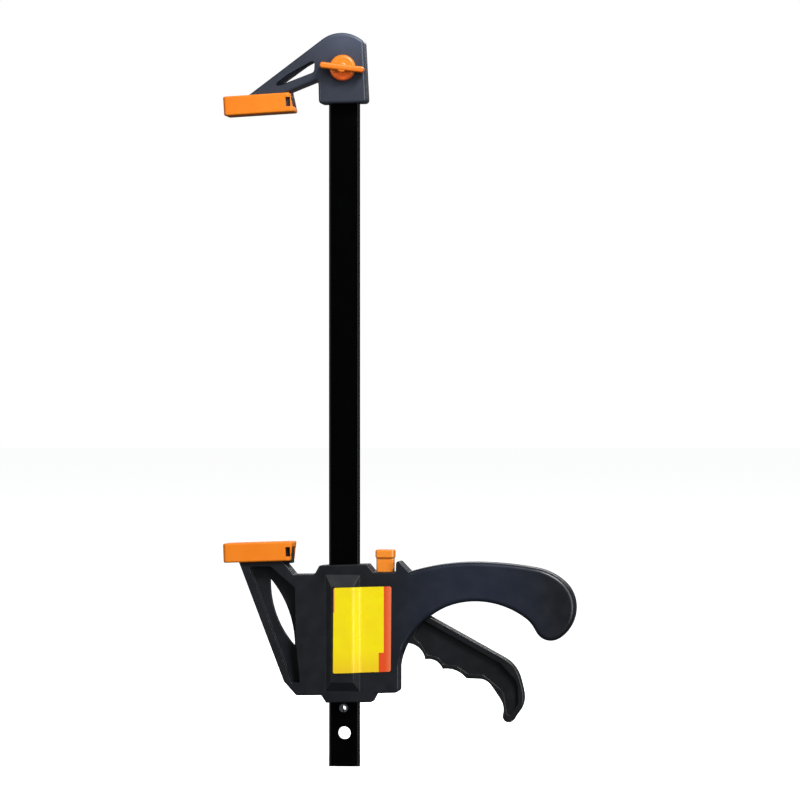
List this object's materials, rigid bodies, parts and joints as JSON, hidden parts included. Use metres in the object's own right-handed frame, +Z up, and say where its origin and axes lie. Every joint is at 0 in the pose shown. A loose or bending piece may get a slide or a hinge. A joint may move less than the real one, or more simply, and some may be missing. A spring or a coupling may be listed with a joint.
{
  "type": "quick release bar clamp",
  "caption": "One-handed quick release bar clamp: flat steel bar, fixed jaw, sliding jaw with pistol handle, squeeze trigger, release button and slide-on pads.",
  "frame": {"origin": "middle of the fixed jaw pad's clamping face", "axes": "+Z up along the bar towards the fixed jaw's crown; +X from the pads across the bar towards the handle; +Y through the thickness, away from the side with the lock knob's wing"},
  "size_m": [0.2881, 0.0428, 0.5994],
  "materials": {
    "black_bar": "black oxide, satin",
    "pin_steel": "bright, plain",
    "screw_steel": "blackened",
    "plate_steel": "hardened, tumbled",
    "spring_steel": "drawn wire",
    "jaw_plastic": "moulded, satin dark grey",
    "trigger_plastic": "moulded, satin black",
    "pad_orange": "soft moulded, matt orange",
    "button_orange": "moulded, satin orange"
  },
  "bodies": {
    "bar_frame": {"bar": "black_bar", "stop_pin": "pin_steel", "fixed_jaw": "jaw_plastic", "fixed_jaw_pad": "pad_orange", "knob_washer": "pin_steel"},
    "lock_knob": {"jaw_lock_knob": "button_orange"},
    "moving_jaw": {"front_shell": "jaw_plastic", "rear_shell": "jaw_plastic", "moving_jaw_pad": "pad_orange", "shell_screws": "screw_steel", "trigger_pin": "pin_steel", "brake_anchor_pin": "pin_steel", "spring_seat_washer": "pin_steel", "bar_guide_upper": "pin_steel", "bar_guide_lower": "pin_steel", "drive_spring": "spring_steel", "brake_spring": "spring_steel"},
    "trigger": {"trigger": "trigger_plastic"},
    "drive_lever": {"drive_plate_upper": "plate_steel", "drive_plate_lower": "plate_steel"},
    "brake_lever": {"brake_plate_upper": "plate_steel", "brake_plate_lower": "plate_steel"},
    "release_button": {"release_button": "button_orange"}
  },
  "joints": [
    {"name": "jaw_slide", "type": "slide", "parent": "bar_frame", "child": "moving_jaw", "axis": [0, 0, 1], "range_m": [-0.0008, 0.3494]},
    {"name": "knob_turn", "type": "hinge", "parent": "bar_frame", "child": "lock_knob", "pos_m": [0.0688, 0, 0.0371], "axis": [0, 1, 0], "range_deg": [0, 90]},
    {"name": "trigger_pivot", "type": "hinge", "parent": "moving_jaw", "child": "trigger", "pos_m": [0.1121, 0, -0.4296], "axis": [0, -1, 0], "range_deg": [0, 22], "stiffness_Nm_per_rad": 0.5, "springref_deg": -11.46},
    {"name": "drive_slide", "type": "slide", "parent": "moving_jaw", "child": "drive_lever", "axis": [0, 0, -1], "range_m": [0, 0.00879], "deforming": ["drive_spring"]},
    {"name": "button_press", "type": "slide", "parent": "moving_jaw", "child": "release_button", "axis": [0, 0, -1], "range_m": [0, 0.004], "stiffness_N_per_m": 600, "springref_m": -0.004},
    {"name": "brake_tilt", "type": "hinge", "parent": "moving_jaw", "child": "brake_lever", "pos_m": [0.0478, 0, -0.3866], "axis": [0, 1, 0], "range_deg": [0, 4.25], "deforming": ["brake_spring"]}
  ],
  "couplings": [
    {"joint": "drive_slide", "follows": "trigger_pivot", "m_per_rad": 0.022859},
    {"joint": "brake_tilt", "follows": "button_press", "rad_per_m": 18.282}
  ]
}
